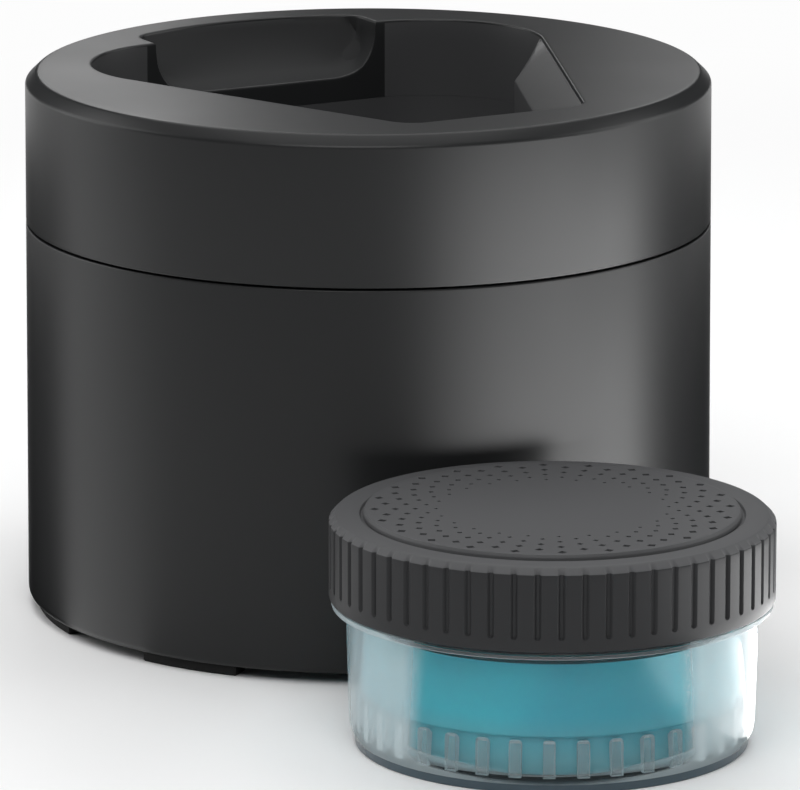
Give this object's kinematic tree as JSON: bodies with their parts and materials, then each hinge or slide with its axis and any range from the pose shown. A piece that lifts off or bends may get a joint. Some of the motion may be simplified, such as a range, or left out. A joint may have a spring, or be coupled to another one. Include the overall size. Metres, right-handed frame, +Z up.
{
  "type": "shaver cleaning station",
  "caption": "Round shaver cleaning pod with a sculpted well in its lift-off top, a pump inside, and a ribbed fluid cartridge with a grooved screw cap beside it.",
  "frame": {"origin": "centre of the assembly's box, on the floor that the pod and the cartridge stand on", "axes": "+Z up; -Y is the pod's front, the side away from its release button; +Y is its rear; +X is its right-hand side seen from the rear"},
  "size_m": [0.1308, 0.21, 0.1032],
  "materials": {
    "charcoal": "satin",
    "rubber": "matte",
    "inner_plastic": "matte",
    "steel": "satin",
    "cell_wrap": "satin",
    "board": "satin",
    "clear_tub": "clear, glossy",
    "fluid": "clear liquid",
    "cap_grey": "fine matte"
  },
  "bodies": {
    "base": {"base_shell": "charcoal", "rubber_feet": "rubber", "cartridge_bay": "inner_plastic", "bay_screws": "steel", "button_guide": "inner_plastic"},
    "release": {"release_button": "charcoal", "button_spring": "steel"},
    "top": {"top_cover": "charcoal", "shaver_basin": "charcoal", "basin_gasket": "rubber", "drain_sieve": "steel", "drain_tube": "inner_plastic", "chassis": "inner_plastic", "motor_housing": "inner_plastic", "motor_can": "steel", "shaft_seal": "rubber", "pump_housing": "inner_plastic", "riser_tube": "inner_plastic", "battery_trays": "inner_plastic", "battery_cells": "cell_wrap", "battery_contacts": "steel", "battery_doors": "inner_plastic", "circuit_board": "board", "top_screws": "steel"},
    "rotor": {"motor_shaft": "steel", "impeller": "inner_plastic"},
    "cartridge": {"cartridge_tub": "clear_tub", "cleaning_fluid": "fluid"},
    "seal": {"cap_seal": "rubber"},
    "cap": {"cartridge_cap": "cap_grey", "cap_disc": "cap_grey"}
  },
  "joints": [
    {"name": "release_press", "type": "slide", "parent": "base", "child": "release", "axis": [0, -1, 0], "range_m": [0, 0.0025], "stiffness_N_per_m": 600},
    {"name": "top_lift", "type": "slide", "parent": "base", "child": "top", "axis": [0, 0, 1], "range_m": [0, 0.12]},
    {"name": "impeller_spin", "type": "hinge", "parent": "top", "child": "rotor", "pos_m": [0, 0.03959, 0.0162], "axis": [0, 0, 1], "continuous": true},
    {"name": "cartridge_lift", "type": "slide", "parent": "base", "child": "cartridge", "axis": [0, 0, 1], "range_m": [0, 0.12]},
    {"name": "cap_lift", "type": "slide", "parent": "cartridge", "child": "seal", "axis": [0, 0, 1], "range_m": [0, 0.06]},
    {"name": "cap_turn", "type": "hinge", "parent": "seal", "child": "cap", "pos_m": [-0.01844, -0.06499, 0.04], "axis": [0, 0, 1], "range_deg": [0, 90]}
  ]
}
